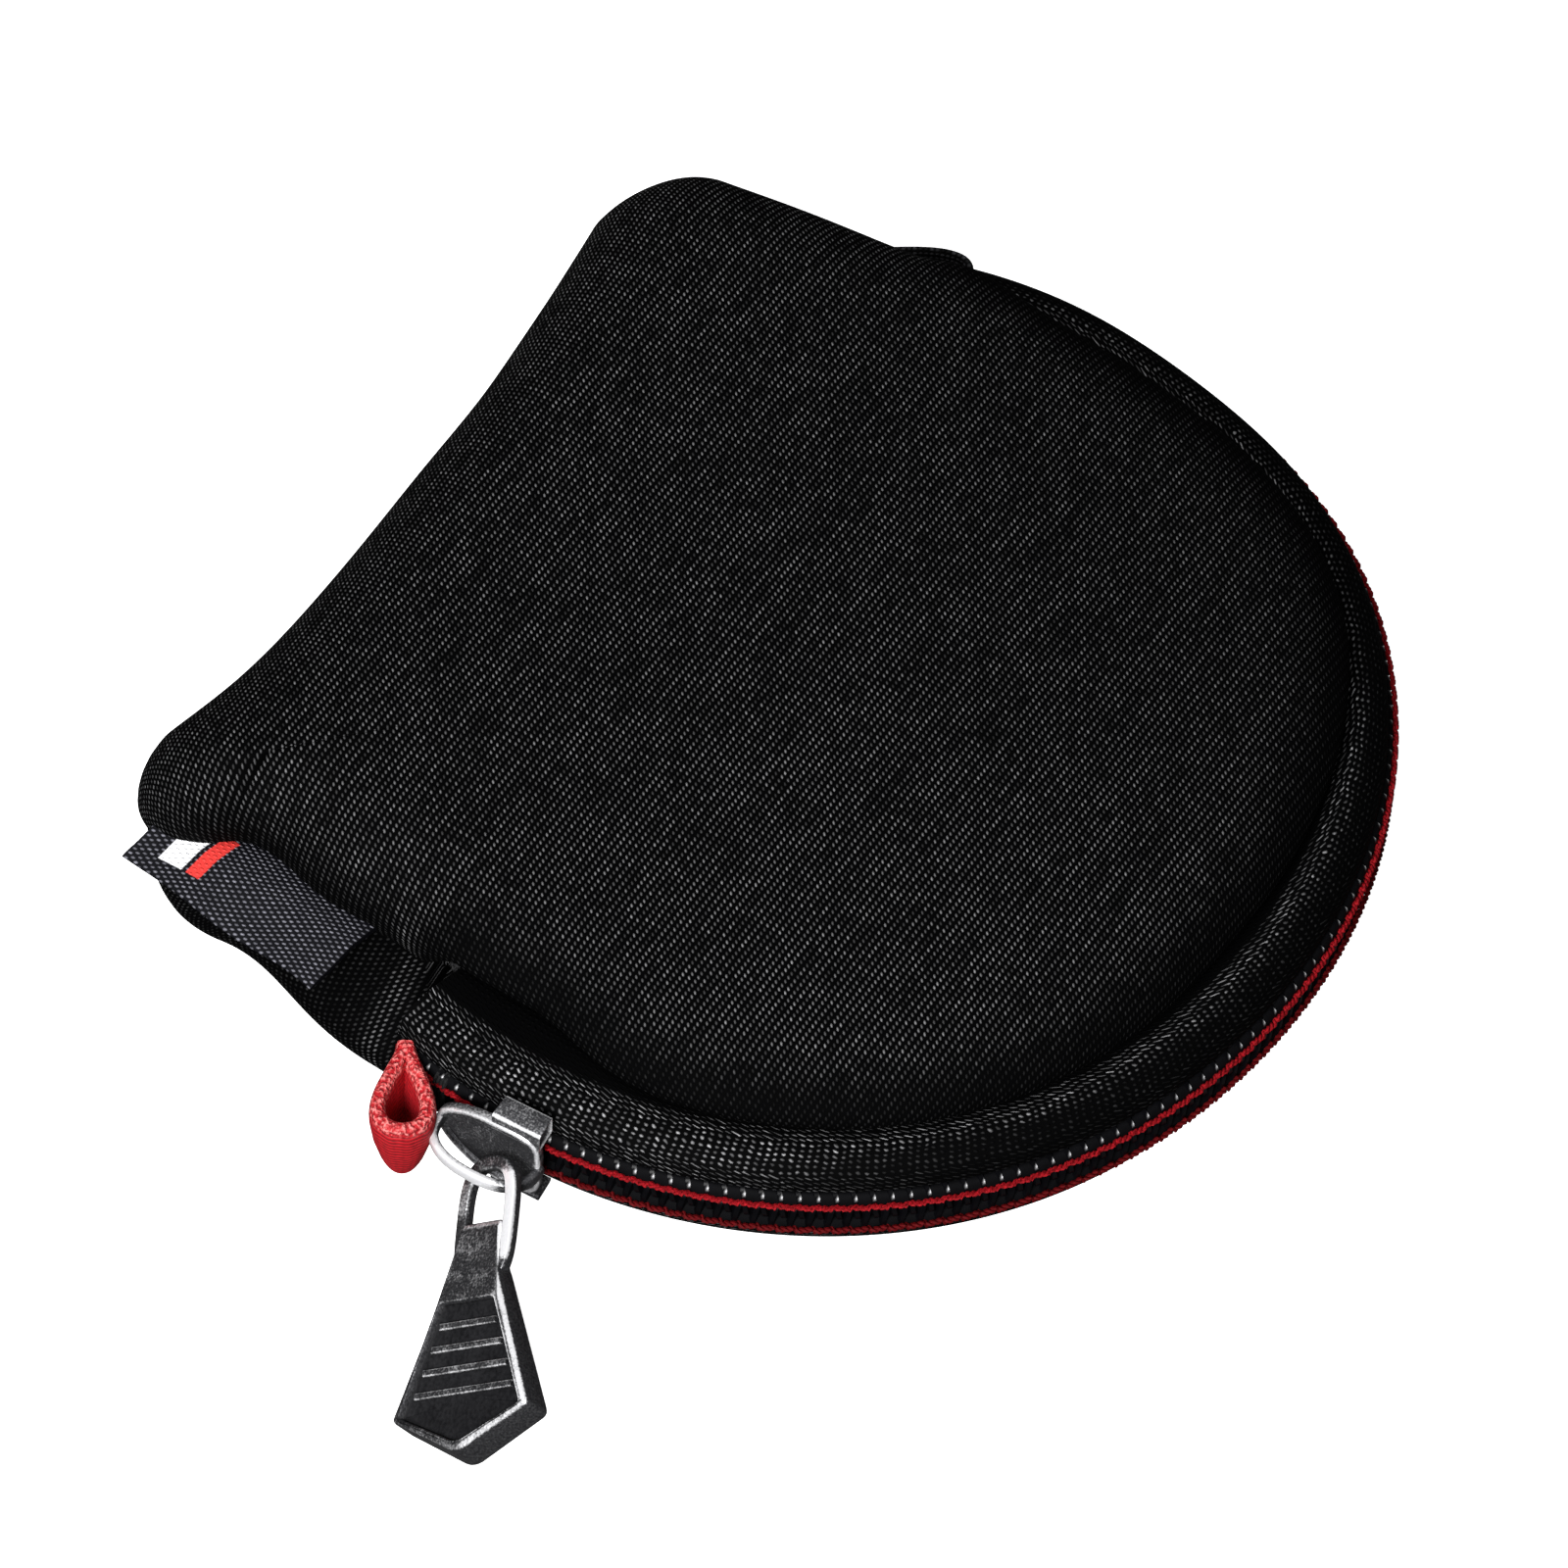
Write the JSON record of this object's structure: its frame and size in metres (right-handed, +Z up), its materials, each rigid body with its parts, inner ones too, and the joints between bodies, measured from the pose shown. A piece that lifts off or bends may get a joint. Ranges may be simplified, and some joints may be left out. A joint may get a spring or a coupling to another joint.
{
  "type": "zipped lens filter case",
  "caption": "Flat D-shaped padded pouch for a round lens filter, with a zip round its curved end, a cast zip pull, a ribbon loop and a side label.",
  "frame": {"origin": "on the flat underside, below the centre of the circle that the zip follows", "axes": "+Z up through the case's thickness, +Y towards the folded spine, -Y towards the round opening end, -X towards the side with the slider, loop and label"},
  "size_m": [0.1049, 0.0791, 0.02],
  "materials": {
    "knit": "fine ribbed knit with small light flecks",
    "foam": "closed-cell foam",
    "lining": "plain brushed lining",
    "tape": "herringbone woven tape",
    "coil": "glossy nylon monofilament",
    "thread": "twisted sewing thread",
    "ribbon": "ribbed grosgrain ribbon",
    "label": "fine damask weave",
    "gunmetal": "antique gunmetal plating on zinc casting",
    "enamel": "black enamel fill"
  },
  "bodies": {
    "base": {"base_outer_panel": "knit", "base_foam_core": "foam", "base_lining": "lining", "rear_outer_panel": "knit", "rear_foam_core": "foam", "rear_lining": "lining", "base_zip_tape": "tape", "base_zip_coil": "coil", "base_zip_stitching": "thread", "base_seam_binding": "tape", "near_end_zip_tape": "tape", "near_end_zip_coil": "coil", "near_end_zip_stitching": "thread", "near_end_seam_binding": "tape", "far_end_zip_tape": "tape", "far_end_zip_coil": "coil", "far_end_zip_stitching": "thread", "far_end_seam_binding": "tape", "near_bar_tack": "tape", "far_bar_tack": "tape", "near_loop": "ribbon", "far_tab": "tape", "side_label": "label"},
    "lid": {"lid_outer_panel": "knit", "lid_foam_core": "foam", "lid_lining": "lining", "lid_zip_tape": "tape", "lid_zip_coil": "coil", "lid_zip_stitching": "thread", "lid_seam_binding": "tape"},
    "slider": {"slider_body": "gunmetal"},
    "pull": {"pull_frame": "gunmetal", "pull_inlay": "enamel"}
  },
  "joints": [
    {"name": "lid_hinge", "type": "hinge", "parent": "base", "child": "lid", "pos_m": [0, -0.00334, 0.02], "axis": [-1, 0, 0], "range_deg": [0, 110]},
    {"name": "slider_travel", "type": "hinge", "parent": "base", "child": "slider", "pos_m": [0, 0, 0.01], "axis": [0, 0, 1], "range_deg": [0, 183]},
    {"name": "pull_swing", "type": "hinge", "parent": "slider", "child": "pull", "pos_m": [-0.04542, -0.0003, 0.01], "axis": [-0.4128, 0.9108, 0], "range_deg": [-40, 80]}
  ]
}
